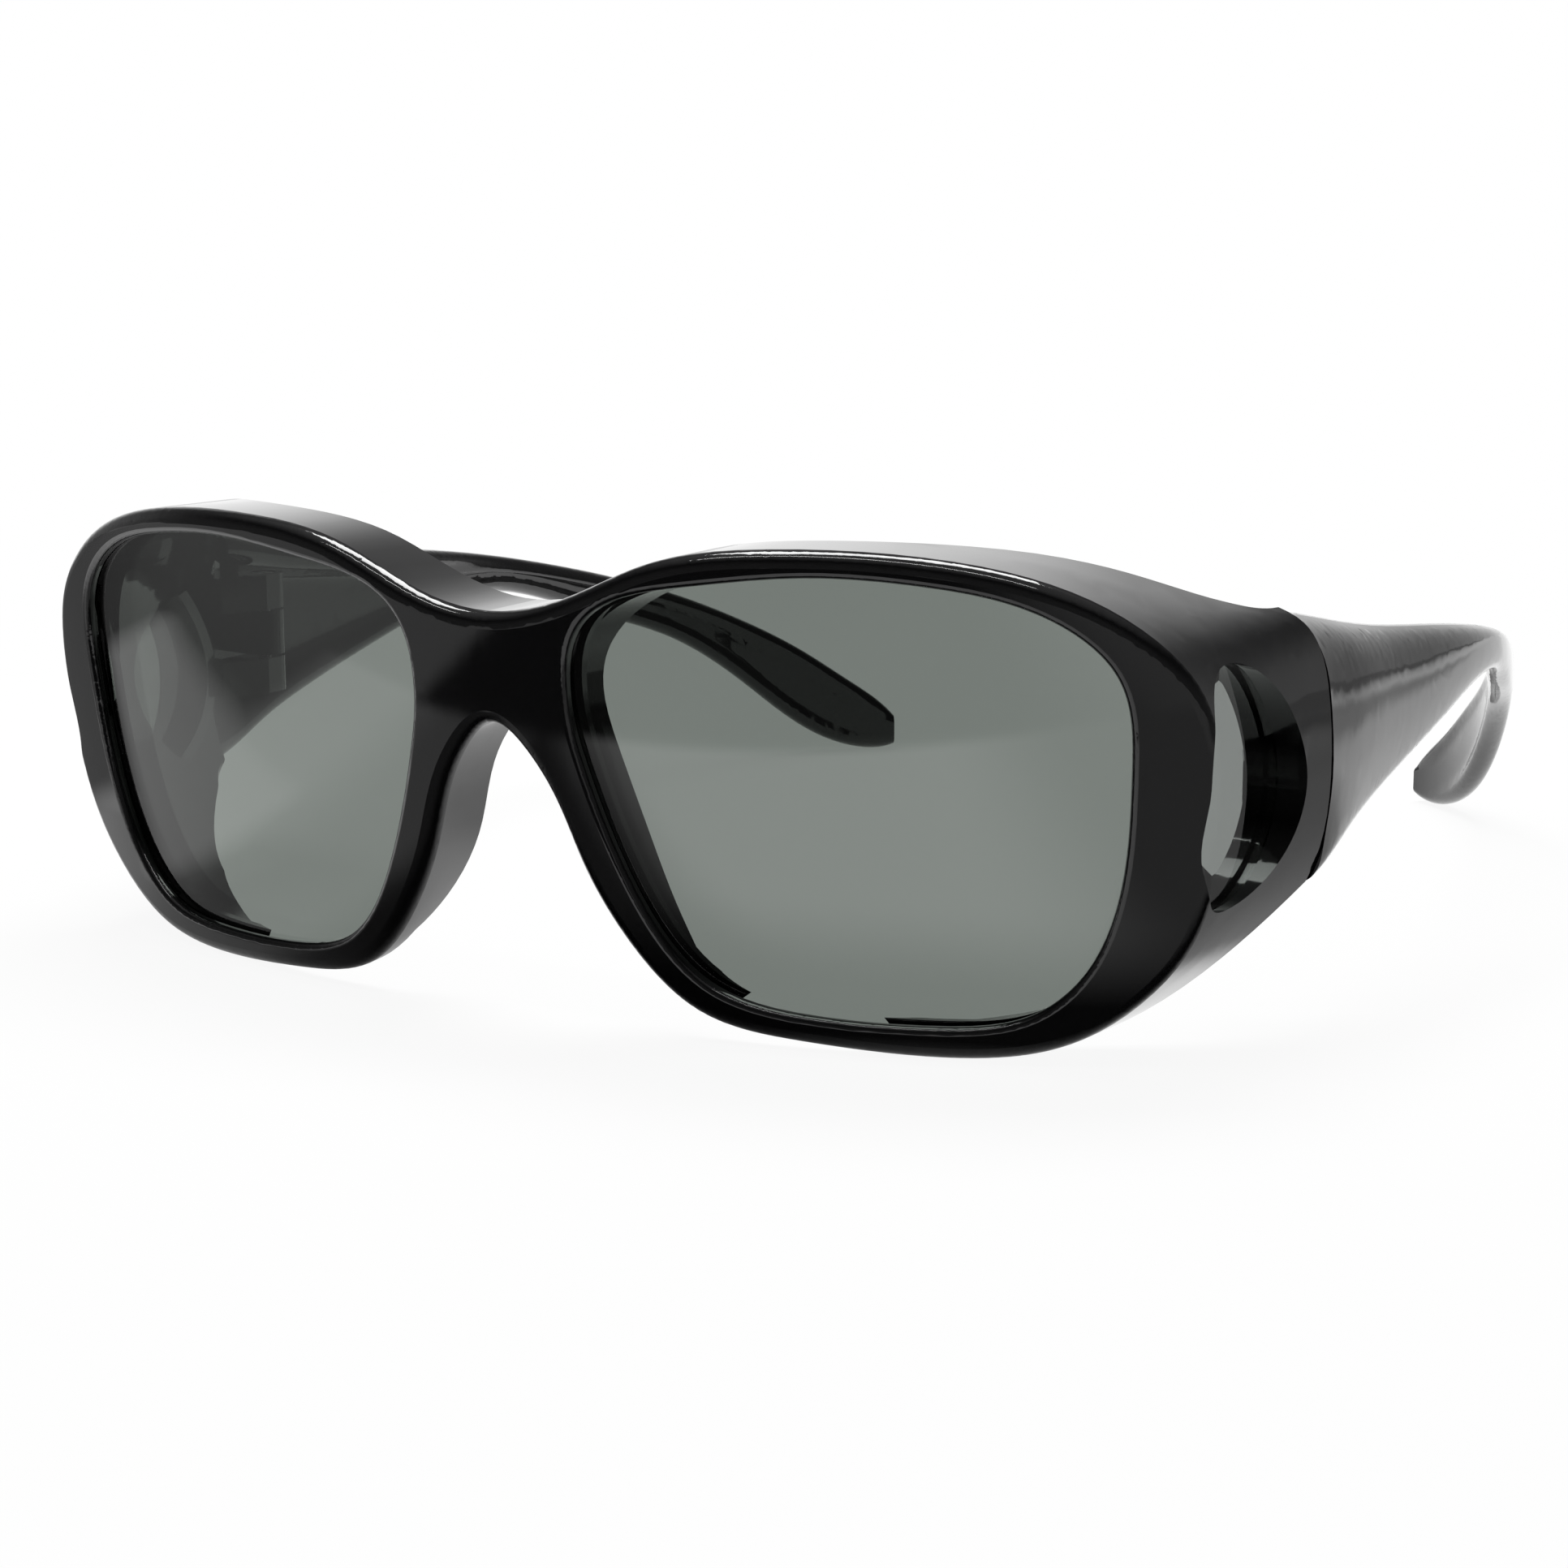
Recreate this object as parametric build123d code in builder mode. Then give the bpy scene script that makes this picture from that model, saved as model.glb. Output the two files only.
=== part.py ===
from build123d import *
import math
import os

os.makedirs("parts", exist_ok=True)

# Overall sizes of the front, in mm, as the glasses rest on a table
HALF_WIDTH = 77.0
RIM_HEIGHT = 53.0
SEAM_BACK = 42.4
FRONT_REACH = 8.0
FACE_RADIUS = 163.0
FACE_RISE_RADIUS = 600.0
FACE_MIDDLE = 26.0
FACE_LEAN = 8.0
HALF_TURN = 180.0
FRONT_EDGE_FILLET = 1.6

# Sizes of a main lens and the groove that holds it
LENS_WIDTH_SHARE = 0.7377
LENS_HEIGHT_SHARE = 0.885
LENS_OUT_SHARE = 0.4961
LENS_UP_SHARE = 0.5094
GROOVE_DEPTH = 1.1
GROOVE_FRONT = 1.3
GROOVE_WIDTH = 2.2
BACK_LIP = 0.9
EDGE_PLAY = 0.2
FACE_PLAY = 0.1
OPENING_FILLET = 0.7
PRISM_LENGTH = 36.0
CUT_OVERLAP = 0.2

# Rear edges of the brow and the nose flanges
FLANGE_HALF = 24.0
BROW_BACK = 9.0

# Side window, its inner frame and its lens, measured inward from the outside of the shield
WINDOW_INSET = 1.0
WINDOW_DEPTH = 20.4
WINDOW_HEIGHT_SHARE = 0.4755
WINDOW_BACK = 26.9
WINDOW_UP_SHARE = 0.548
WINDOW_TURN = 5.0
WINDOW_FRAME = 1.9
WINDOW_FRAME_DEEP = 7.6
SIDE_LENS_DEEP = 3.9
SIDE_LENS_THICK = 1.5
SIDE_GROOVE_DEPTH = 0.8

# Hinge
HINGE_INSET = 8.7
HINGE_BACK = 48.0
HINGE_UP_SHARE = 0.6038
HINGE_HEIGHT = 15.0
KNUCKLE_RADIUS = 2.5
KNUCKLE_GAP = 0.3
MIDDLE_KNUCKLE = 5.6
SCREW_RADIUS = 0.8
SCREW_PLAY = 0.03
SCREW_HEAD_RADIUS = 1.5
SCREW_HEAD = 1.0
SCREW_SLOT = 0.5
LUG_FRONT = 39.6
LUG_INSET = 2.8
WEB_INSET = 2.0

# Middle of the footprint behind the bridge, and height of the lowest points
MIDDLE_BACK = 85.1
REST_HEIGHT = 0.1

# Temples
SEAM_GAP = 0.6
TEMPLE_LENGTH = 129.4
TEMPLE_WALL_SHARE = 0.0566
ROOT_BOW_SHARE = 0.0943
CAP_ROUND = 0.34

# Outer outline of the right half of the front at the face and at the seam, from the bridge top
# round to the bridge arch, as shares of the half width and the rim height
FACE_OUTLINE_SHARES = [
    (0.0, 0.847), (0.117, 0.879), (0.247, 0.960), (0.429, 1.0), (0.623, 0.998), (0.792, 0.953),
    (0.900, 0.858), (0.938, 0.698), (0.942, 0.509), (0.914, 0.311), (0.855, 0.132), (0.747, 0.028),
    (0.584, 0.0), (0.390, 0.015), (0.253, 0.060), (0.172, 0.189), (0.110, 0.358), (0.045, 0.563),
    (0.0, 0.613),
]
SEAM_OUTLINE_SHARES = [
    (0.0, 0.858), (0.117, 0.891), (0.247, 0.966), (0.429, 1.008), (0.623, 0.985), (0.766, 0.930),
    (0.857, 0.874), (0.956, 0.822), (0.996, 0.672), (1.0, 0.491), (0.969, 0.304), (0.880, 0.120),
    (0.740, 0.010), (0.480, 0.018), (0.325, 0.075), (0.215, 0.208), (0.155, 0.377), (0.080, 0.610),
    (0.0, 0.679),
]

# Hollow behind a lens at the face and at the seam
FACE_HOLLOW_SHARES = [
    (0.119, 0.783), (0.175, 0.864), (0.273, 0.919), (0.429, 0.951), (0.597, 0.951), (0.714, 0.911),
    (0.779, 0.830), (0.803, 0.689), (0.803, 0.509), (0.779, 0.321), (0.734, 0.160), (0.656, 0.075),
    (0.558, 0.053), (0.396, 0.066), (0.273, 0.111), (0.197, 0.215), (0.143, 0.377), (0.112, 0.547),
]
SEAM_HOLLOW_SHARES = [
    (0.175, 0.783), (0.213, 0.862), (0.299, 0.911), (0.442, 0.945), (0.610, 0.928), (0.753, 0.868),
    (0.864, 0.811), (0.934, 0.689), (0.948, 0.500), (0.925, 0.321), (0.857, 0.151), (0.753, 0.079),
    (0.610, 0.057), (0.468, 0.068), (0.345, 0.121), (0.250, 0.234), (0.192, 0.392), (0.160, 0.566),
]

# Outline of a lens about its middle, as shares of half its width and half its height
LENS_SHARES = [
    (-1.0, 0.515), (-0.912, 0.763), (-0.489, 0.938), (-0.028, 0.998), (0.370, 0.972), (0.746, 0.853),
    (0.961, 0.618), (1.0, 0.192), (0.944, -0.358), (0.796, -0.755), (0.627, -0.925), (0.285, -1.0),
    (-0.151, -0.989), (-0.528, -0.874), (-0.799, -0.443), (-0.961, 0.111),
]

# Side window about its middle, a D with its straight side toward the front
WINDOW_SHARES = [
    (-0.93, 0.62), (-0.62, 0.95), (-0.10, 0.98), (0.45, 0.72), (0.85, 0.30), (1.0, -0.10),
    (0.82, -0.55), (0.38, -0.86), (-0.20, -1.0), (-0.62, -0.96), (-0.85, -0.70), (-0.94, 0.0),
]

# Rear edge of the brow seen from above, of the nose flanges and of the shields seen from the side
BROW_SHARES = [(0.519, 0.290), (0.670, 0.490), (0.790, 0.690), (0.870, 0.870), (0.920, 1.02)]
FLANGE_SHARES = [
    (1.0, 0.13), (1.16, 0.17), (1.30, 0.26), (1.27, 0.42), (1.06, 0.58), (0.88, 0.72), (1.0, 0.87),
]
SHIELD_SHARES = [(0.40, -0.10), (0.47, 0.01), (0.60, 0.080), (0.78, 0.183), (1.02, 0.312)]

# Temple stations: share of its length, outermost side, top, bottom and bow of the section
STATION_SHARES = [
    (0.0, 1.0, 0.836, 0.304, 1.0), (0.075, 1.0, 0.803, 0.370, 0.90),
    (0.152, 0.997, 0.770, 0.430, 0.72), (0.320, 0.991, 0.722, 0.530, 0.42),
    (0.490, 0.968, 0.662, 0.577, 0.20), (0.629, 0.914, 0.585, 0.487, 0.16),
    (0.753, 0.850, 0.492, 0.384, 0.12), (0.845, 0.787, 0.394, 0.243, 0.10),
    (0.920, 0.709, 0.281, 0.090, 0.06), (0.965, 0.643, 0.187, 0.030, 0.03),
    (0.990, 0.594, 0.120, 0.023, 0.0), (1.0, 0.570, 0.080, 0.034, 0.0),
]
BOW_SHARES = [(-1.0, 1.0), (-0.28, 0.855), (-0.05, 0.660), (0.0, 0.351), (-0.14, 0.150), (-0.48, 0.0)]


def across(back):
    """Plane facing forward at a distance behind the bridge."""
    return Plane(origin=(0, back, 0), x_dir=(1, 0, 0), z_dir=(0, -1, 0))


def sized(shares, width, height, middle=(0, 0)):
    """Points of a table of shares at real size."""
    return [(middle[0] + width * x, middle[1] + height * z) for x, z in shares]


def pace(points):
    """How far along a curve each of its points lies, from zero to one."""
    steps = [math.dist(a, b) for a, b in zip(points, points[1:])]
    return [sum(steps[:count]) / sum(steps) for count in range(len(points))]


def closed_curve(points, guide):
    """Smooth closed curve through points, paced like the guide so that two of them loft cleanly."""
    return Edge.make_spline(points, periodic=True, parameters=pace(guide + guide[:1]))


def front_section(back, shares):
    """Right half of the front outline across one plane."""
    with BuildSketch(across(back)) as section:
        with BuildLine():
            points = sized(shares, HALF_WIDTH, RIM_HEIGHT)
            guide = sized(FACE_OUTLINE_SHARES, HALF_WIDTH, RIM_HEIGHT)
            speed = sum(math.dist(a, b) for a, b in zip(guide, guide[1:]))
            ends = [(speed, 0), (-speed, 0)]
            add(Edge.make_spline(points, tangents=ends, parameters=pace(guide), scale=False))
            Line(points[-1], points[0])
        make_face()
    return section.sketch


def hollow_section(back, shares):
    """Outline of the space behind a lens across one plane."""
    with BuildSketch(across(back)) as section:
        with BuildLine():
            guide = sized(FACE_HOLLOW_SHARES, HALF_WIDTH, RIM_HEIGHT)
            add(closed_curve(sized(shares, HALF_WIDTH, RIM_HEIGHT), guide))
        make_face()
    return section.sketch


barrel_half = 4 * RIM_HEIGHT / 3
hinge_out = HALF_WIDTH - HINGE_INSET
lean_cos = math.cos(math.radians(FACE_LEAN))
lean_sin = math.sin(math.radians(FACE_LEAN))
lean = Plane(origin=(0, 0, FACE_MIDDLE), x_dir=(0, lean_cos, lean_sin), z_dir=(1, 0, 0))
lean_axis = Axis(lean.from_local_coords((FACE_RADIUS, 0, 0)), (0, -lean_sin, lean_cos))


def behind_face(inset):
    """Everything behind the bowed front face, moved back by the inset."""
    rise = FACE_RISE_RADIUS - inset
    foot = FACE_RISE_RADIUS - math.sqrt(rise**2 - barrel_half**2)
    with BuildPart() as barrel:
        with BuildSketch(lean):
            with BuildLine():
                ThreePointArc((foot, -barrel_half), (inset, 0), (foot, barrel_half))
                Polyline((foot, barrel_half), (FACE_RADIUS, barrel_half), (FACE_RADIUS, -barrel_half),
                         (foot, -barrel_half))
            make_face()
        revolve(axis=lean_axis)
    return barrel.part.rotate(lean_axis, HALF_TURN)


def on_face(edge):
    """True for an edge that lies on the bowed front face."""
    for place in (0.1, 0.37, 0.5, 0.83):
        spot = lean.to_local_coords(edge @ place)
        reach = math.hypot(FACE_RADIUS - spot.X, spot.Z)
        bow = math.hypot(FACE_RISE_RADIUS - FACE_RADIUS + reach, spot.Y)
        if abs(bow - FACE_RISE_RADIUS) > FACE_PLAY / 4:
            return False
    return True


def lens_prism(grow):
    """Lens outline run straight back through the face."""
    middle = (LENS_OUT_SHARE * HALF_WIDTH, LENS_UP_SHARE * RIM_HEIGHT)
    half_width = LENS_WIDTH_SHARE * HALF_WIDTH / 2 + grow
    half_height = LENS_HEIGHT_SHARE * RIM_HEIGHT / 2 + grow
    points = sized(LENS_SHARES, half_width, half_height, middle)
    with BuildPart() as prism:
        with BuildSketch(across(-FRONT_REACH)):
            with BuildLine():
                add(closed_curve(points, points))
            make_face()
        extrude(amount=-PRISM_LENGTH)
    return prism.part


def lens_slab(grow, inset, thickness):
    """Piece of the bowed layer behind the face, with the lens outline."""
    with BuildPart() as slab:
        add(lens_prism(grow))
        add(behind_face(inset), mode=Mode.INTERSECT)
        add(behind_face(inset + thickness), mode=Mode.SUBTRACT)
    return slab.part


turn = math.radians(WINDOW_TURN)
window_middle = (HALF_WIDTH - WINDOW_INSET, WINDOW_BACK, WINDOW_UP_SHARE * RIM_HEIGHT)
window_plane = Plane(origin=window_middle, x_dir=(math.sin(turn), math.cos(turn), 0),
                     z_dir=(math.cos(turn), -math.sin(turn), 0))


def window_prism(grow, deep, thickness):
    """Window outline from a depth inside the shield outward."""
    half_height = WINDOW_HEIGHT_SHARE * RIM_HEIGHT / 2 + grow
    points = sized(WINDOW_SHARES, WINDOW_DEPTH / 2 + grow, half_height)
    with BuildPart() as prism:
        with BuildSketch(window_plane.offset(-deep)):
            with BuildLine():
                add(closed_curve(points, points))
            make_face()
        extrude(amount=thickness)
    return prism.part


def hand_in(piece, name):
    """Moves a piece so that the middle of the footprint is the origin, then writes it."""
    moved = piece.moved(Location((0, -MIDDLE_BACK, -REST_HEIGHT)))
    moved.label = name
    export_step(moved, "parts/" + name + ".step")


lug_out = HALF_WIDTH - LUG_INSET
web_out = HALF_WIDTH - WEB_INSET
hinge_middle = HINGE_UP_SHARE * RIM_HEIGHT
hinge_low = hinge_middle - HINGE_HEIGHT / 2
hinge_high = hinge_middle + HINGE_HEIGHT / 2
middle_low = hinge_middle - MIDDLE_KNUCKLE / 2
middle_high = hinge_middle + MIDDLE_KNUCKLE / 2


def hinge_pin(radius, low, high):
    """Upright cylinder on the hinge axis."""
    with BuildPart() as pin:
        with BuildSketch(Plane.XY.offset(low)):
            with Locations((hinge_out, HINGE_BACK)):
                Circle(radius)
        extrude(amount=high - low)
    return pin.part


def lug(low, high):
    """Hinge lug of the front, a round knuckle on an arm from the shield."""
    inner = hinge_out - KNUCKLE_RADIUS
    outer = hinge_out + KNUCKLE_RADIUS
    with BuildPart() as piece:
        with BuildSketch(Plane.XY.offset(low)):
            with BuildLine():
                Polyline((inner, HINGE_BACK), (inner, HINGE_BACK - KNUCKLE_RADIUS), (hinge_out, LUG_FRONT),
                         (lug_out, LUG_FRONT), (lug_out, SEAM_BACK), (outer, SEAM_BACK),
                         (outer, HINGE_BACK), (inner, HINGE_BACK))
            make_face()
            with Locations((hinge_out, HINGE_BACK)):
                Circle(KNUCKLE_RADIUS)
        extrude(amount=high - low)
    return piece.part


# Solid right half of the front, before it is hollowed
with BuildPart() as hull:
    loft([front_section(-FRONT_REACH, FACE_OUTLINE_SHARES), front_section(SEAM_BACK, SEAM_OUTLINE_SHARES)],
         ruled=True)
    add(behind_face(0), mode=Mode.INTERSECT)
    fillet(hull.edges().filter_by(on_face).sort_by(SortBy.LENGTH)[-1], radius=FRONT_EDGE_FILLET)
    # Rear edge of the brow, swept back from the bridge to the seam
    with BuildSketch(Plane.XY.offset(-RIM_HEIGHT / 2)):
        with BuildLine():
            start = (FLANGE_HALF, BROW_BACK)
            brow = Spline(start, *sized(BROW_SHARES, HALF_WIDTH, SEAM_BACK), tangents=[(1, 0), (0.15, 1)])
            Polyline(brow @ 1, (HALF_WIDTH, 2 * SEAM_BACK), (FLANGE_HALF, 2 * SEAM_BACK), start)
        make_face()
    extrude(amount=2 * RIM_HEIGHT, mode=Mode.SUBTRACT)
    # Rear edge of the bridge and the nose flanges
    with BuildSketch(Plane.YZ.offset(-FLANGE_HALF)):
        with BuildLine():
            flange = Spline(*sized(FLANGE_SHARES, BROW_BACK, RIM_HEIGHT))
            Polyline(flange @ 1, (BROW_BACK, 2 * RIM_HEIGHT), (2 * SEAM_BACK, 2 * RIM_HEIGHT),
                     (2 * SEAM_BACK, -RIM_HEIGHT), (BROW_BACK, -RIM_HEIGHT), flange @ 0)
        make_face()
    extrude(amount=2 * FLANGE_HALF, mode=Mode.SUBTRACT)
    # Lower edge of the side shield, rising to the seam
    with BuildSketch(Plane.YZ):
        with BuildLine():
            rise = Spline(*sized(SHIELD_SHARES, SEAM_BACK, RIM_HEIGHT))
            Polyline(rise @ 1, (2 * SEAM_BACK, RIM_HEIGHT), (2 * SEAM_BACK, -RIM_HEIGHT), rise @ 0)
        make_face()
    extrude(amount=2 * HALF_WIDTH, mode=Mode.SUBTRACT)

# Front frame: opening, hollow, groove and side window on the right, then mirrored
plate = GROOVE_FRONT + GROOVE_WIDTH + BACK_LIP
with BuildPart() as opening:
    add(lens_prism(0))
    add(behind_face(plate + CUT_OVERLAP), mode=Mode.SUBTRACT)
with BuildPart() as hollow:
    behind_seam = SEAM_BACK + CUT_OVERLAP
    ends = [hollow_section(0, FACE_HOLLOW_SHARES), hollow_section(behind_seam, SEAM_HOLLOW_SHARES)]
    loft(ends, ruled=True)
    add(behind_face(plate), mode=Mode.INTERSECT)
    # The thick frame round the side window is left standing
    through = WINDOW_FRAME_DEEP + FRONT_REACH
    add(window_prism(WINDOW_FRAME, WINDOW_FRAME_DEEP, through), mode=Mode.SUBTRACT)
with BuildPart() as front_frame:
    add(hull.part)
    add(opening.part, mode=Mode.SUBTRACT)
    rims = [edge for edge in front_frame.edges() if edge.is_closed and on_face(edge)]
    fillet(rims, radius=OPENING_FILLET)
    add(hollow.part, mode=Mode.SUBTRACT)
    add(lens_slab(GROOVE_DEPTH, GROOVE_FRONT, GROOVE_WIDTH), mode=Mode.SUBTRACT)
    add(window_prism(0, WINDOW_FRAME_DEEP + CUT_OVERLAP, through), mode=Mode.SUBTRACT)
    groove = SIDE_LENS_THICK + 2 * FACE_PLAY
    add(window_prism(SIDE_GROOVE_DEPTH, SIDE_LENS_DEEP + groove - FACE_PLAY, groove), mode=Mode.SUBTRACT)
    add(lug(hinge_low, middle_low - KNUCKLE_GAP))
    add(lug(middle_high + KNUCKLE_GAP, hinge_high))
    add(hinge_pin(SCREW_RADIUS + SCREW_PLAY, hinge_low, hinge_high), mode=Mode.SUBTRACT)
    add(hinge_pin(SCREW_HEAD_RADIUS + FACE_PLAY, hinge_high - SCREW_HEAD, hinge_high), mode=Mode.SUBTRACT)
    mirror(about=Plane.YZ)
hand_in(front_frame.part, "front_frame")

# Main lens, a bowed plate in the groove of the rim
with BuildPart() as right_main_lens:
    add(lens_slab(GROOVE_DEPTH - EDGE_PLAY, GROOVE_FRONT + FACE_PLAY, GROOVE_WIDTH - 2 * FACE_PLAY))

# Side lens, a flat plate in the groove of the side window
with BuildPart() as right_side_lens:
    add(window_prism(SIDE_GROOVE_DEPTH - EDGE_PLAY, SIDE_LENS_DEEP + SIDE_LENS_THICK, SIDE_LENS_THICK))

# Hinge screw with a slotted head, let into the upper lug
with BuildPart() as right_hinge_screw:
    add(hinge_pin(SCREW_RADIUS, hinge_low, hinge_high - SCREW_HEAD / 2))
    add(hinge_pin(SCREW_HEAD_RADIUS, hinge_high - SCREW_HEAD, hinge_high - SCREW_SLOT / 4))
    with Locations((hinge_out, HINGE_BACK, hinge_high)):
        Box(4 * SCREW_HEAD_RADIUS, SCREW_SLOT, SCREW_HEAD, mode=Mode.SUBTRACT)


def cap(start, end):
    """Middle point of the rounded end of a section."""
    middle = ((start[0] + end[0]) / 2, (start[1] + end[1]) / 2)
    return (middle[0] + CAP_ROUND * (start[1] - end[1]), middle[1] + CAP_ROUND * (end[0] - start[0]))


def station(number):
    """Section of a temple, a bowed bar with round edges, square to the way the temple runs."""
    root = SEAM_BACK + SEAM_GAP
    spots = [(row[1] * HALF_WIDTH, root + row[0] * TEMPLE_LENGTH) for row in STATION_SHARES]
    back, out, top, bottom, bow = STATION_SHARES[number]
    before = spots[max(number - 1, 0)]
    after = spots[min(number + 1, len(spots) - 1)]
    run = (after[0] - before[0], after[1] - before[1]) if number else (0, 1)
    length = math.hypot(*run)
    side = (run[1] / length, -run[0] / length, 0)
    plane = Plane(origin=(*spots[number], 0), x_dir=side, z_dir=(side[1], -side[0], 0))
    height = (top - bottom) * RIM_HEIGHT
    outer = sized(BOW_SHARES, bow * ROOT_BOW_SHARE * RIM_HEIGHT, height, (0, bottom * RIM_HEIGHT))
    inner = []
    for count, (x, z) in enumerate(outer):
        ahead = outer[min(count + 1, len(outer) - 1)]
        behind = outer[max(count - 1, 0)]
        slope = math.hypot(ahead[0] - behind[0], ahead[1] - behind[1])
        wall = TEMPLE_WALL_SHARE * RIM_HEIGHT / slope
        inner.append((x + (ahead[1] - behind[1]) * wall, z - (ahead[0] - behind[0]) * wall))
    points = outer + [cap(outer[-1], inner[-1])] + inner[::-1] + [cap(inner[0], outer[0])]
    with BuildSketch(plane) as section:
        with BuildLine():
            add(closed_curve(points, points))
        make_face()
    return section.sketch


# Temple, one piece from the wide root to the paddle tip, with the middle knuckle of the hinge
with BuildPart() as right_temple:
    loft([station(number) for number in range(len(STATION_SHARES))])
    with BuildSketch(Plane.XY.offset(middle_low)):
        with BuildLine():
            Polyline((hinge_out, HINGE_BACK - KNUCKLE_RADIUS), (web_out, HINGE_BACK - KNUCKLE_RADIUS / 2),
                     (web_out, HINGE_BACK + 2 * KNUCKLE_RADIUS), (hinge_out, HINGE_BACK + KNUCKLE_RADIUS),
                     (hinge_out, HINGE_BACK - KNUCKLE_RADIUS))
        make_face()
        with Locations((hinge_out, HINGE_BACK)):
            Circle(KNUCKLE_RADIUS)
    extrude(amount=MIDDLE_KNUCKLE)
    add(hinge_pin(SCREW_RADIUS + SCREW_PLAY, hinge_low, hinge_high), mode=Mode.SUBTRACT)

# Each side piece is written as built on the right and mirrored on the left
for name, piece in (("main_lens", right_main_lens), ("side_lens", right_side_lens),
                    ("hinge_screw", right_hinge_screw), ("temple", right_temple)):
    hand_in(piece.part, "right_" + name)
    hand_in(mirror(piece.part, about=Plane.YZ, mode=Mode.PRIVATE), "left_" + name)
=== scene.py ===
# %% [markdown]
# # Fitover sunglasses
#
# This notebook dresses a finished CAD model of a pair of sunglasses and sets up a small studio
# round it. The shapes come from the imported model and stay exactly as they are. What is made here
# is the look: the polished plastic, the grey lenses, the screws, the floor, the lamps and the
# camera.
#
# The first cell loads the model.

# %% Load the frame
import math
import bpy
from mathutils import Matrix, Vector

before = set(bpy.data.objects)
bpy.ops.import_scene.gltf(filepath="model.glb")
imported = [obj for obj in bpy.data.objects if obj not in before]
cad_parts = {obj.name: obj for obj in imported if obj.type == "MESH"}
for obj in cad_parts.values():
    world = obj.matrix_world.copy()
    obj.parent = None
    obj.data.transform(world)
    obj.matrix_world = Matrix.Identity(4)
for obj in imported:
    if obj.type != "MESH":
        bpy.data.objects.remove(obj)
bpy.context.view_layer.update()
scene = bpy.context.scene


print("Nodes:", sorted(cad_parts))

# %% [markdown]
# ## Helpers for materials
#
# A material is a small graph of shader nodes. It could be drawn by hand in the shader editor, but
# a script makes it the same each time, and a few helpers keep it short. The first ones add a node,
# feed a socket, combine two values, and start a material with a Principled BSDF, the shader that
# covers plastic, metal and glass.
#
# The others make the patterns: a noise, its fit to a range, two colours that are mixed by it, and
# a bump. All patterns use Object coordinates, so they stick to the part and don't slide when the
# camera moves.

# %% Material helpers
NOISE_LOW, NOISE_HIGH = 0.3, 0.7  # nearly all of a noise pattern lies between these
MIX_ONE, MIX_TWO, MIX_RESULT = 6, 7, 2  # where a Mix node keeps its colour sockets


def node(tree, kind, at=(0, 0), **inputs):
    """Adds a shader node and sets the inputs that are named, with _ for a space."""
    made = tree.nodes.new(kind)
    made.location = at
    for name, value in inputs.items():
        made.inputs[name.replace("_", " ")].default_value = value
    return made


def feed(tree, value, socket):
    """Gives a socket its value, which is a number or the output of another node."""
    if isinstance(value, float):
        socket.default_value = value
    else:
        tree.links.new(value, socket)


def combine(tree, operation, one, two, at=(-600, 0)):
    """Adds, multiplies or compares two values, each a number or a socket."""
    made = node(tree, "ShaderNodeMath", at)
    made.operation = operation
    for socket, value in zip(made.inputs, (one, two)):
        feed(tree, value, socket)
    return made.outputs[0]


def start_material(name, **inputs):
    """Makes a material and returns it with its tree, its shader and its object coordinates."""
    material = bpy.data.materials.new(name)
    material.use_nodes = True
    tree = material.node_tree
    shader = tree.nodes["Principled BSDF"]
    for socket, value in inputs.items():
        shader.inputs[socket.replace("_", " ")].default_value = value
    coords = node(tree, "ShaderNodeTexCoord", (-1400, 0)).outputs["Object"]
    return material, tree, shader, coords


def noise(tree, coords, scale, detail=3.0, at=(-1100, 0)):
    """A noise pattern in object space. The scale is in bumps per metre."""
    pattern = node(tree, "ShaderNodeTexNoise", at, Scale=scale, Detail=detail)
    tree.links.new(coords, pattern.inputs["Vector"])
    return pattern.outputs["Fac"]


def spread(tree, value, low, high, at=(-800, 0)):
    """Maps a pattern from the middle of its range to the range low to high."""
    mapped = node(tree, "ShaderNodeMapRange", at,
                  From_Min=NOISE_LOW, From_Max=NOISE_HIGH, To_Min=low, To_Max=high)
    tree.links.new(value, mapped.inputs["Value"])
    return mapped.outputs["Result"]


def mix_colours(tree, pattern, one, two, at=(-500, 300)):
    """Mixes two colours by a pattern, which is 0 where the first is pure and 1 at the second."""
    made = node(tree, "ShaderNodeMix", at)
    made.data_type = "RGBA"
    made.inputs[MIX_ONE].default_value = (*one, 1.0)
    made.inputs[MIX_TWO].default_value = (*two, 1.0)
    tree.links.new(pattern, made.inputs["Factor"])
    return made.outputs[MIX_RESULT]


def mix_shaders(tree, share, one, two, at):
    """Mixes two shaders. The share is that of the second one."""
    made = node(tree, "ShaderNodeMixShader", at)
    for socket, value in zip(made.inputs, (share, one, two)):
        feed(tree, value, socket)
    return made.outputs[0]


def bump(tree, shader, height, strength, distance, after=None, at=(-300, -400)):
    """Adds a bump to the shader's normal, on top of an earlier bump if there is one."""
    made = node(tree, "ShaderNodeBump", at, Strength=strength, Distance=distance)
    tree.links.new(height, made.inputs["Height"])
    if after:
        tree.links.new(after.outputs["Normal"], made.inputs["Normal"])
    tree.links.new(made.outputs["Normal"], shader.inputs["Normal"])
    return made


print("Material helpers ready")

# %% [markdown]
# ## Polished black plastic
#
# The frame is injection-moulded plastic with a high polish. A plain black shader would do from
# afar, but its reflections are too perfect. Three things make it look real: a roughness that
# wanders a little, as a polished surface is never equally smooth; a very low, broad waviness,
# left by the mould, that makes long reflections run softly; and a much finer, still lower orange
# peel. The base colour is almost black and varies slightly.
#
# The temples were moulded apart from the front, so they have a polish of their own.

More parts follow.
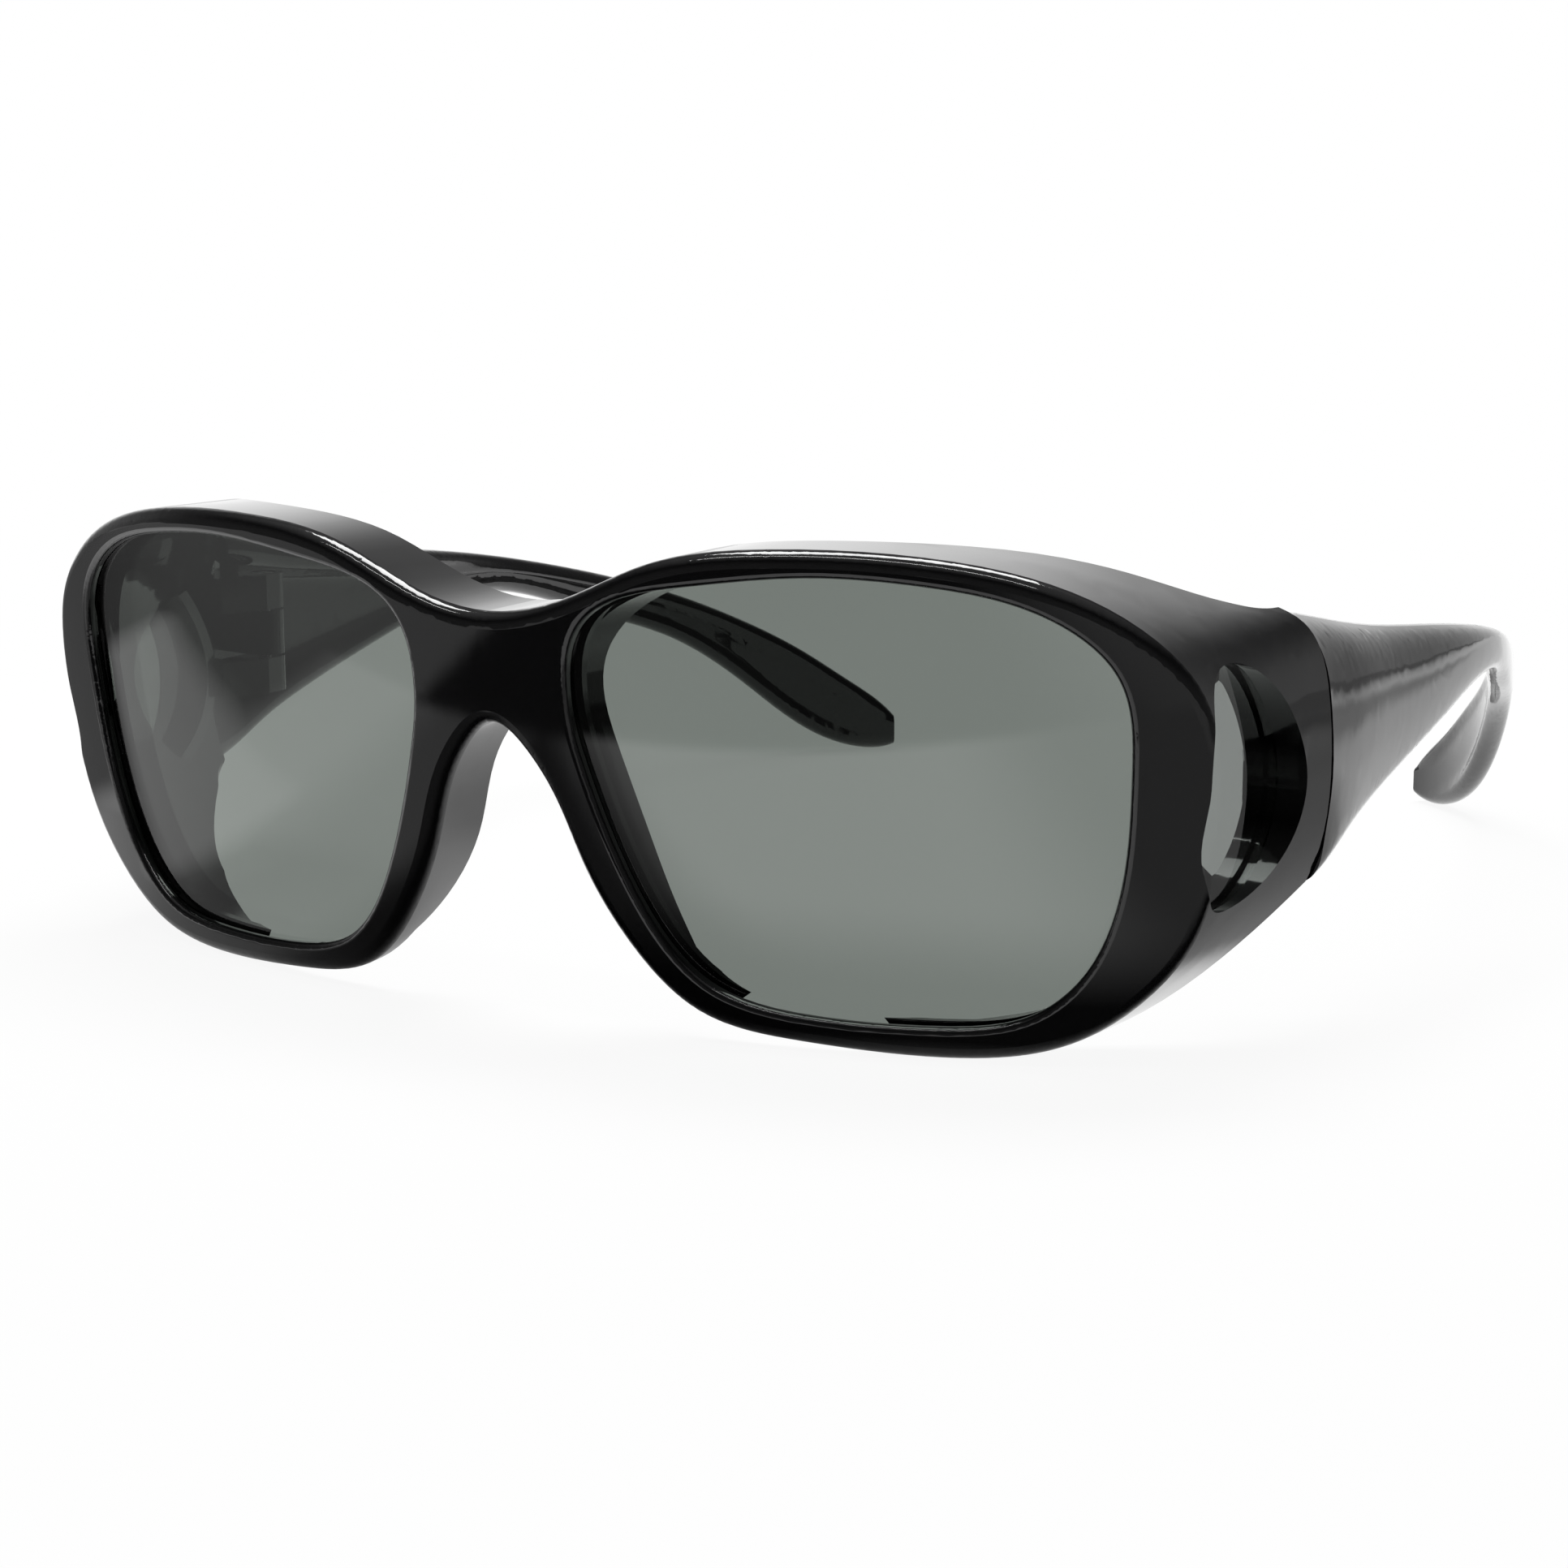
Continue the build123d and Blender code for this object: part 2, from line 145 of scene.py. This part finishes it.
# %% Black plastic
MOULDING_SCALE, PEEL_SCALE = 55.0, 2400.0  # bumps per metre
LIGHTER_BLACK = (1.5, 1.45, 1.5)  # times the tint, for red, green and blue
SMOOTHER, DULLER, PEEL_ROUGHNESS = 0.85, 1.15, 0.012
MOULDING_BUMP, PEEL_BUMP = (0.10, 0.0004), (0.012, 0.00001)  # strength, and height in metres


def plastic(name, polish, tint):
    """A black plastic with its roughness about polish and its colour from tint upwards."""
    material, tree, shader, coords = start_material(
        name, IOR=1.5, Specular_IOR_Level=0.5, Coat_Weight=0.35, Coat_Roughness=0.06, Coat_IOR=1.5)
    broad = noise(tree, coords, MOULDING_SCALE, detail=2.0, at=(-1100, 200))
    fine = noise(tree, coords, PEEL_SCALE, detail=4.0, at=(-1100, -100))
    # Colour: two near blacks, mixed by the broad pattern
    lighter = [value * factor for value, factor in zip(tint, LIGHTER_BLACK)]
    tree.links.new(mix_colours(tree, broad, tint, lighter), shader.inputs["Base Color"])
    # Roughness: the polish wanders between a little smoother and a little duller
    wander = spread(tree, broad, polish * SMOOTHER, polish * DULLER, (-800, 100))
    peel = spread(tree, fine, -PEEL_ROUGHNESS, PEEL_ROUGHNESS, (-800, -100))
    tree.links.new(combine(tree, "ADD", wander, peel, (-500, 0)), shader.inputs["Roughness"])
    # Surface: the moulding wave, then the orange peel on top of it
    wave = bump(tree, shader, broad, *MOULDING_BUMP, at=(-500, -300))
    bump(tree, shader, fine, *PEEL_BUMP, after=wave, at=(-250, -400))
    return material


frame_plastic = plastic(
    "polished_black_plastic", polish=0.07, tint=(0.0022, 0.0022, 0.0025))
temple_plastic = plastic(
    "polished_black_plastic_temples", polish=0.08, tint=(0.0024, 0.0023, 0.0026))
print("Plastic materials:", frame_plastic.name, temple_plastic.name)

# %% [markdown]
# ## Grey lenses
#
# A lens lets about a fifth of the light through. A glass shader could be used, but it bends the
# view and is slow to render, and a lens is a thin sheet with parallel faces, which hardly bends
# what is seen through it. So each of its two faces is made in two equal shares: a tinted
# Transparent BSDF, which the light passes straight, and a dark, polished Principled BSDF, which
# adds the reflections. The tint wanders very slightly, and a faint haze lies in the polish.
#
# The side lenses are flat and a little lighter than the main lenses.

# %% Lens material
LENS_BODY = (0.001, 0.001, 0.001, 1.0)
CLOUD_SCALE, HAZE_SCALE = 40.0, 700.0  # bumps per metre
CLOUD_BUMP, HAZE_ROUGHNESS = (0.03, 0.0002), 0.02
CLEAR_SHARE, TINT_WANDER = 0.5, 1.02


def lens_material(name, tint):
    """A see-through lens. The tint is the share of red, green and blue light that passes it."""
    material, tree, shader, coords = start_material(
        name, Base_Color=LENS_BODY, IOR=1.6, Specular_IOR_Level=1.0)
    cloud = noise(tree, coords, CLOUD_SCALE, detail=2.0, at=(-1100, 200))
    haze = noise(tree, coords, HAZE_SCALE, detail=5.0, at=(-1100, -100))
    roughness = spread(tree, haze, 0.0, HAZE_ROUGHNESS, (-800, -100))
    tree.links.new(roughness, shader.inputs["Roughness"])
    bump(tree, shader, cloud, *CLOUD_BUMP)
    # Light passes two faces, each only in its clear share, so a face has the square root of the
    # tint, divided by that share
    face_tint = [math.sqrt(value) / CLEAR_SHARE for value in tint]
    paler_tint = [value * TINT_WANDER for value in face_tint]
    clear = node(tree, "ShaderNodeBsdfTransparent", (100, -300))
    tree.links.new(mix_colours(tree, cloud, face_tint, paler_tint), clear.inputs["Color"])
    layer = mix_shaders(tree, 1.0 - CLEAR_SHARE, clear.outputs[0], shader.outputs[0], (400, 0))
    tree.links.new(layer, tree.nodes["Material Output"].inputs["Surface"])
    return material


lens_grey = lens_material("grey_lens", tint=(0.172, 0.192, 0.176))
side_grey = lens_material("grey_side_lens", tint=(0.180, 0.194, 0.185))
print("Lens materials:", lens_grey.name, side_grey.name)

# %% [markdown]
# ## Screw steel
#
# The screws are small, but they show from behind. Turned steel has fine, regular tool marks, so a
# wave pattern drives a low bump. A plain metal would look like chrome at this size, so the
# roughness and the colour are patchy too.

# %% Steel
PATCH_SCALE, MARK_SCALE, MARK_DISTORTION = 1500.0, 4000.0, 1.5
STEEL_DARK, STEEL_LIGHT = (0.42, 0.42, 0.43), (0.60, 0.60, 0.61)
STEEL_ROUGHNESS = (0.22, 0.38)
MARK_BUMP = (0.15, 0.00003)


def steel(name):
    """Plain turned steel, for the screws."""
    material, tree, shader, coords = start_material(name, Metallic=1.0)
    patch = noise(tree, coords, PATCH_SCALE, detail=4.0)
    marks = node(tree, "ShaderNodeTexWave", (-1100, -300),
                 Scale=MARK_SCALE, Distortion=MARK_DISTORTION)
    tree.links.new(coords, marks.inputs["Vector"])
    colour = mix_colours(tree, patch, STEEL_DARK, STEEL_LIGHT)
    tree.links.new(colour, shader.inputs["Base Color"])
    tree.links.new(spread(tree, patch, *STEEL_ROUGHNESS), shader.inputs["Roughness"])
    bump(tree, shader, marks.outputs["Fac"], *MARK_BUMP)
    return material


screw_steel = steel("turned_steel")
print("Steel:", screw_steel.name)

# %% [markdown]
# ## Dress the CAD parts
#
# Each CAD object has one material slot. Assigning a new material to the slot changes the look and
# leaves the mesh alone. Smooth shading is already in the model's normals.

# %% Assign the materials
LOOKS = {
    "front_frame": frame_plastic, "left_temple": temple_plastic, "right_temple": temple_plastic,
    "left_main_lens": lens_grey, "right_main_lens": lens_grey,
    "left_side_lens": side_grey, "right_side_lens": side_grey,
    "left_hinge_screw": screw_steel, "right_hinge_screw": screw_steel,
}
for name, material in LOOKS.items():
    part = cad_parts[name]
    for slot in part.material_slots:
        slot.material = material
    print(name, "->", material.name)

# %% [markdown]
# ## Helpers for the studio
#
# The floor and the world are graded with smooth steps. A picture of a studio could be wrapped
# round the object instead, but a step is four plain numbers that can be changed on their own.
#
# A step is written as its start, its end, the level before the start and the level past the end.
# A band is a step up times a step down.

# %% Studio helpers
WHITE = (1.0, 1.0, 1.0, 1.0)


def ramp(tree, value, start, end, before, after, at=(-900, 0)):
    """A smooth step of a value between its start and its end."""
    made = node(tree, "ShaderNodeMapRange", at,
                From_Min=start, From_Max=end, To_Min=before, To_Max=after)
    made.interpolation_type = "SMOOTHSTEP"
    tree.links.new(value, made.inputs["Value"])
    return made.outputs["Result"]


def band(tree, value, rise, fall):
    """A step up times a step down of the same value."""
    return combine(tree, "MULTIPLY", ramp(tree, value, *rise), ramp(tree, value, *fall))


def rest_of(tree, share):
    """What a share leaves of one."""
    return combine(tree, "SUBTRACT", 1.0, share)


def distance(tree, one, two):
    """How far away a place is that lies so far along one axis and so far along another."""
    squares = combine(tree, "ADD", combine(tree, "MULTIPLY", one, one),
                      combine(tree, "MULTIPLY", two, two))
    return combine(tree, "SQRT", squares, 0.0)


def direct_rays(tree, path, at=(-600, 0)):
    """1 for a ray from the camera, also through a lens, and 0 for any other ray."""
    return combine(tree, "MAXIMUM", path.outputs["Is Camera Ray"],
                   path.outputs["Is Transmission Ray"], at)


print("Studio helpers ready")

# %% [markdown]
# ## Floor
#
# The part lies on white card. A plane is enough for it. It lies a hair below the part, so that no
# face of the part coincides with it, and it is wide enough for every view. Its colour varies
# slightly, as paper does.
#
# The next cells need to know where on the floor a ray lands, so the object coordinates are split
# into x, which runs to the right, and y, which runs back, both in metres.

# %% Card
CARD_HALF, CARD_DROP = 1.5, 0.0002
CARD_GRAIN, CARD_DARK, CARD_LIGHT = 30.0, (0.88, 0.88, 0.88), (0.91, 0.91, 0.91)
bpy.ops.mesh.primitive_plane_add(size=2 * CARD_HALF, location=(0, 0, -CARD_DROP))
floor = bpy.context.object
floor.name = "studio_floor"
floor_material, tree, shader, coords = start_material(
    "studio_floor", Roughness=0.9, Specular_IOR_Level=0.0)
grain = noise(tree, coords, CARD_GRAIN)
tree.links.new(mix_colours(tree, grain, CARD_DARK, CARD_LIGHT), shader.inputs["Base Color"])
spot = node(tree, "ShaderNodeSeparateXYZ", (-1200, -600))
tree.links.new(coords, spot.inputs[0])
x, y = spot.outputs["X"], spot.outputs["Y"]
print("Card:", 2 * CARD_HALF, "m wide")

# %% [markdown]
# ## The floor in the polish: in front
#
# Glossy black plastic shows its surroundings more than itself. A photographer lays cards of
# different brightness round such an object, and here the floor takes on their levels, but only
# for the rays that come off a glossy surface. The soft edges between the levels are the horizons
# that show on the rims, the lenses and the temples. Lamps could give the same sheen, but they
# would also light the floor.
#
# From left to right, the floor in front of the glasses is bright, half bright before the far
# lens, dark before the nose, bright before the near lens and dim at the right. The edge where the
# near lens begins slants.

# %% Levels in front
LENS_LEVEL, LEFT_LEVEL, NOSE_LEVEL, RIGHT_LEVEL = 0.85, 0.42, 0.08, 0.28
FAR_LENS_STEP = (-0.090, -0.060, LENS_LEVEL - LEFT_LEVEL, 0.0)
NOSE_STEP = (-0.045, -0.033, LEFT_LEVEL, NOSE_LEVEL)
NEAR_LENS_SLOPE, NEAR_LENS_STEP = 0.85, (0.094, 0.114, 0.0, LENS_LEVEL - NOSE_LEVEL)
RIGHT_STEP = (0.056, 0.088, 0.0, LENS_LEVEL - RIGHT_LEVEL)
front_level = combine(tree, "ADD", ramp(tree, x, *NOSE_STEP), ramp(tree, x, *FAR_LENS_STEP))
lens_slant = combine(tree, "SUBTRACT", x, combine(tree, "MULTIPLY", y, NEAR_LENS_SLOPE))
front_level = combine(tree, "ADD", front_level, ramp(tree, lens_slant, *NEAR_LENS_STEP))
front_level = combine(tree, "SUBTRACT", front_level, ramp(tree, x, *RIGHT_STEP))
print("In front, from the left:", LENS_LEVEL, LEFT_LEVEL, NOSE_LEVEL, LENS_LEVEL, RIGHT_LEVEL)

# %% [markdown]
# ## The floor in the polish: behind
#
# Behind the face the floor is bright, which gives the insides of the shields and the temples
# their sheen. It is dimmer in two places: beside the near shield, up to a slanting edge at the
# temple, and in a patch of painted shade behind the nose, which stands in for the part's shadow.

# %% Levels behind
BACK_LEVEL = 1.15
FACE_START, FACE_END = -0.09, -0.04
SHIELD_STEP = (0.065, 0.072, 0.0, 1.0)
SHIELD_SLOPE, SHIELD_SLANT_STEP = 1.1, (-0.085, -0.040, 0.67, 0.17)
NOSE_SHADE_X = ((-0.045, -0.030, 0.0, 0.45), (0.010, 0.030, 1.0, 0.0))
NOSE_SHADE_Y = ((-0.065, -0.035, 0.1, 1.0), (-0.02, 0.02, 1.0, 0.0))
behind = ramp(tree, y, FACE_START, FACE_END, 0.0, 1.0)
shield_slant = combine(tree, "SUBTRACT", y, combine(tree, "MULTIPLY", x, SHIELD_SLOPE))
by_shield = combine(tree, "MULTIPLY", ramp(tree, x, *SHIELD_STEP),
                    ramp(tree, shield_slant, *SHIELD_SLANT_STEP))
behind = combine(tree, "MULTIPLY", behind, rest_of(tree, by_shield))
# Painted shade: a patch behind the nose darkens the level where the part's shadow would fall
nose_painted_shade = combine(tree, "MULTIPLY", band(tree, x, *NOSE_SHADE_X), band(tree, y, *NOSE_SHADE_Y))
back_level = combine(tree, "MULTIPLY", rest_of(tree, nose_painted_shade), BACK_LEVEL)
in_face = ramp(tree, y, FACE_START, FACE_END, 1.0, 0.0)
level = combine(tree, "ADD", combine(tree, "MULTIPLY", front_level, in_face),
                combine(tree, "MULTIPLY", behind, back_level))
print("Behind the face:", BACK_LEVEL)

# %% [markdown]
# ## The floor in the polish: at the foot of the rims
#
# The rims stand on the card and would shade it, so a ring of painted shadow darkens the levels at
# their foot, and their lower edges show it as black. It is a ring along the curve of the face, so
# it is graded by the distance from the middle of that curve. It is only in front, and it is weak
# at the left.

# %% Shade at the foot
FACE_CENTRE_BACK = 0.078
RING_INNER, RING_OUTER = (0.152, 0.164, 1.0, 0.0), (0.168, 0.190, 0.0, 1.0)
RING_SIDE, RING_BACK = (-0.035, -0.015, 0.65, 0.03), (-0.05, -0.02, 1.0, 0.0)
# Painted shadow: the reflected levels are darkened in a ring at the foot of the rims
reach = distance(tree, x, combine(tree, "SUBTRACT", y, FACE_CENTRE_BACK))
foot_painted_shadow = combine(tree, "MAXIMUM", ramp(tree, reach, *RING_OUTER), ramp(tree, x, *RING_SIDE))
foot_painted_shadow = combine(tree, "MAXIMUM", foot_painted_shadow, rest_of(tree, ramp(tree, y, *RING_BACK)))
foot_painted_shadow = combine(tree, "MAXIMUM", foot_painted_shadow, ramp(tree, reach, *RING_INNER))
print("Ring of shade from", RING_INNER[0], "to", RING_OUTER[1], "m round the middle of the face")

# %% [markdown]
# ## The floor in the polish: the edges of the card
#
# These levels hold on a strip of card round the glasses. Its front edge is the sharp horizon on
# the lower rims, and its sides are softer.

# %% Strip of card
CARD_FRONT, CARD_LEFT, CARD_RIGHT = -0.153, -0.12, 0.16
FRONT_SOFT, LEFT_SOFT, RIGHT_SOFT = 0.003, 0.01, 0.02
left_edge = (CARD_LEFT - LEFT_SOFT, CARD_LEFT + LEFT_SOFT, 0.0, 1.0)
right_edge = (CARD_RIGHT - RIGHT_SOFT, CARD_RIGHT + RIGHT_SOFT, 1.0, 0.0)
front_edge = (CARD_FRONT - FRONT_SOFT, CARD_FRONT + FRONT_SOFT, 0.0, 1.0)
inside = combine(tree, "MULTIPLY", band(tree, x, left_edge, right_edge),
                 ramp(tree, y, *front_edge))
strip = combine(tree, "MULTIPLY", combine(tree, "MULTIPLY", level, foot_painted_shadow), inside)
print("Strip from x", CARD_LEFT, "to", CARD_RIGHT, "and from y", CARD_FRONT, "back")

# %% [markdown]
# ## The floor in the polish: past the card
#
# Past the strip the floor is dimmer. Beside and behind the glasses it is brighter at the right
# than at the left, with a dimmer wedge past the near shield, and far behind it brightens again.
# In front it is nearly black, so that the rims look black, but not at the two sides.

# %% Floor past the card
OUTER_LEFT, OUTER_RIGHT, OUTER_FAR_RIGHT = 0.22, 0.52, 0.22
OUTER_FRONT, OUTER_FRONT_LEFT, OUTER_FRONT_RIGHT = 0.03, 0.46, 0.33
SIDE_STEP = (-0.05, 0.05, OUTER_LEFT, OUTER_RIGHT)
FAR_RIGHT_STEP = (0.20, 0.28, 0.0, OUTER_RIGHT - OUTER_FAR_RIGHT)
WEDGE_STEP = (-0.10, -0.02, 0.65, 1.0)
FAR_BACK_STEP, FAR_BACK_SIDE = (0.30, 0.42, 0.0, 0.55), (0.25, 0.35, 1.0, 0.0)
FRONT_LEFT_STEP = (-0.082, -0.072, OUTER_FRONT_LEFT, OUTER_FRONT)
FRONT_RIGHT_STEP = (0.075, 0.125, 0.0, OUTER_FRONT_RIGHT)
BESIDE_STEP = (-0.16, -0.05, 0.0, 1.0)
outer_side = combine(tree, "SUBTRACT", ramp(tree, x, *SIDE_STEP), ramp(tree, x, *FAR_RIGHT_STEP))
outer_side = combine(tree, "MULTIPLY", outer_side, ramp(tree, shield_slant, *WEDGE_STEP))
far_back = combine(tree, "MULTIPLY", ramp(tree, y, *FAR_BACK_STEP), ramp(tree, x, *FAR_BACK_SIDE))
outer_side = combine(tree, "ADD", outer_side, far_back)
outer_front = combine(tree, "ADD", ramp(tree, x, *FRONT_LEFT_STEP),
                      ramp(tree, x, *FRONT_RIGHT_STEP))
beside = ramp(tree, y, *BESIDE_STEP)
outer = combine(tree, "ADD", combine(tree, "MULTIPLY", outer_side, beside),
                combine(tree, "MULTIPLY", outer_front, rest_of(tree, beside)))
outer = combine(tree, "MULTIPLY", outer, rest_of(tree, inside))
seen_level = combine(tree, "ADD", strip, outer)
print("Past the card:", OUTER_LEFT, "at the left,", OUTER_RIGHT, "at the right")

# %% [markdown]
# ## The floor in the polish: a bright sheet
#
# The far lens is seen at a flat angle and shows a bright sheet that lies to its left. It is laid
# over the other levels: where two overlap, the brighter one counts.

# %% Sheet at the left
SHEET_LEVEL = 1.15
SHEET_X = ((-0.225, -0.195, 0.0, SHEET_LEVEL), (-0.085, -0.065, 1.0, 0.0))
SHEET_Y = ((-0.125, -0.100, 0.0, 1.0), (-0.074, -0.064, 1.0, 0.0))
sheet = combine(tree, "MULTIPLY", band(tree, x, *SHEET_X), band(tree, y, *SHEET_Y))
seen_level = combine(tree, "MAXIMUM", seen_level, sheet)
print("Sheet at the left:", SHEET_LEVEL)

# %% [markdown]
# ## The floor for each kind of ray
#
# A Light Path node tells where a ray comes from. A ray off a glossy surface finds the levels from
# above. A ray from the camera, also one that has passed a lens, finds plain white, mixed near the
# part with a little of the lit card, which brings the shadow. Any other ray finds the lit card.

# %% Rays on the floor
SHADOW_STEP = (0.14, 0.34, 0.92, 1.0)  # the share of white, near the part and away from it
path = node(tree, "ShaderNodeLightPath", (-800, 900))
glossy = path.outputs["Is Glossy Ray"]
direct = direct_rays(tree, path)
strength = combine(tree, "MAXIMUM", direct, combine(tree, "MULTIPLY", glossy, seen_level))
whiteness = ramp(tree, distance(tree, x, y), *SHADOW_STEP)
share = combine(tree, "MAXIMUM", glossy, combine(tree, "MULTIPLY", direct, whiteness))
glow = node(tree, "ShaderNodeEmission", (0, -400), Color=WHITE)
tree.links.new(strength, glow.inputs["Strength"])
surface = mix_shaders(tree, share, shader.outputs[0], glow.outputs[0], (300, 0))
tree.links.new(surface, tree.nodes["Material Output"].inputs["Surface"])
floor.data.materials.append(floor_material)
print("Floor ready, with", len(tree.nodes), "shader nodes")

# %% [markdown]
# ## World
#
# Glossy black plastic is a mirror of the room, so the room matters more than the paint. Behind and
# to the left there is a bright backdrop, brightest low down. In front, where the camera stands,
# the room is dark, so that the rims look black. Straight up there is a weak, even fill. A Sky
# Texture could be used, but it has no such backdrop. The camera and the lenses see plain white.

# %% World
BACKDROP_WAY = (-0.45, 0.89, 0.0)
BACKDROP_WIDE, BACKDROP_CORE = (0.10, 0.50, 0.11, 0.32), (0.65, 1.0, 0.0, 0.83)
LOW_GLOW, ZENITH_FILL = (0.10, 0.60, 1.0, 0.28), (0.55, 0.95, 0.0, 0.30)
world = bpy.data.worlds.new("studio")
scene.world = world
world.use_nodes = True
tree = world.node_tree
tree.nodes.clear()
coords = node(tree, "ShaderNodeTexCoord", (-1400, 0)).outputs["Generated"]
parts = node(tree, "ShaderNodeSeparateXYZ", (-1200, -200))
tree.links.new(coords, parts.inputs[0])
facing = node(tree, "ShaderNodeVectorMath", (-1200, 200))
facing.operation = "DOT_PRODUCT"
facing.inputs[1].default_value = BACKDROP_WAY
tree.links.new(coords, facing.inputs[0])
toward, height = facing.outputs["Value"], parts.outputs["Z"]
backdrop = combine(tree, "ADD", ramp(tree, toward, *BACKDROP_WIDE, (-900, 200)),
                   ramp(tree, toward, *BACKDROP_CORE, (-900, 500)), (-700, 200))
low_glow = ramp(tree, height, *LOW_GLOW, (-900, -100))
zenith = ramp(tree, height, *ZENITH_FILL, (-900, -400))
room = combine(tree, "ADD", combine(tree, "MULTIPLY", backdrop, low_glow, (-600, 100)), zenith,
               (-400, 0))
print("Room ready")

# %% [markdown]
# The same trick as on the floor keeps the room out of the picture: the camera and the lenses get
# a white background, and everything else gets the room.

# %% White background
lit = node(tree, "ShaderNodeBackground", (-100, 100), Color=WHITE)
tree.links.new(room, lit.inputs["Strength"])
white = node(tree, "ShaderNodeBackground", (-100, -100), Color=WHITE, Strength=1.0)
path = node(tree, "ShaderNodeLightPath", (-400, 400))
seen = direct_rays(tree, path, (-150, 400))
output = node(tree, "ShaderNodeOutputWorld", (400, 0))
tree.links.new(mix_shaders(tree, seen, lit.outputs[0], white.outputs[0], (200, 0)),
               output.inputs["Surface"])
print("World ready")

# %% [markdown]
# ## Lamps
#
# One broad soft box above lights the card and the tops. A long, narrow strip above the front makes
# the thin highlight that runs along the rounded edges. Point lamps would be simpler, but their
# highlights are dots.

# %% Lamps
def soft_box(name, place, target, size, power):
    """An area lamp at a place, turned to look at a target."""
    data = bpy.data.lights.new(name, "AREA")
    data.shape = "RECTANGLE"
    data.size, data.size_y = size
    data.energy = power
    lamp = bpy.data.objects.new(name, data)
    scene.collection.objects.link(lamp)
    lamp.location = place
    lamp.rotation_euler = (Vector(target) - Vector(place)).to_track_quat("-Z", "Y").to_euler()


soft_box("top_box", place=(-0.10, 0.15, 0.70), target=(0.0, 0.0, 0.0), size=(0.5, 0.3), power=5.0)
soft_box("edge_strip", place=(0.0, -0.28, 0.60), target=(0.0, -0.08, 0.03), size=(0.60, 0.012),
         power=0.5)

# %% [markdown]
# ## Camera
#
# The camera stands where the photograph was taken from: about 30 degrees to the right of the
# front, 11 degrees up and 337 mm away. That is close for an object 175 mm long, so the temples
# shrink clearly towards their tips. The focal length is given in pixels of the photograph, as it
# was solved from its perspective, and is turned into millimetres for the sensor.

# %% Camera
AZIMUTH, ELEVATION, DISTANCE = 29.76, 10.75, 0.3372
TARGET = Vector((0.0352, -0.0851, 0.0297))
FOCAL_PIXELS, IMAGE_PIXELS, SENSOR = 4150.0, 1932.0, 36.0
NEAREST = 0.01
turn, rise = math.radians(AZIMUTH), math.radians(ELEVATION)
back = Vector((math.sin(turn) * math.cos(rise), -math.cos(turn) * math.cos(rise), math.sin(rise)))
camera_data = bpy.data.cameras.new("camera")
camera_data.sensor_width = SENSOR
camera_data.lens = SENSOR * FOCAL_PIXELS / IMAGE_PIXELS
camera_data.clip_start = NEAREST
camera = bpy.data.objects.new("camera", camera_data)
scene.collection.objects.link(camera)
camera.location = TARGET + back * DISTANCE
camera.rotation_euler = back.to_track_quat("Z", "Y").to_euler()
scene.camera = camera
scene.view_settings.view_transform = "Standard"
print("Camera at", [round(value, 4) for value in camera.location], "with a focal length of",
      round(camera_data.lens, 2), "mm")
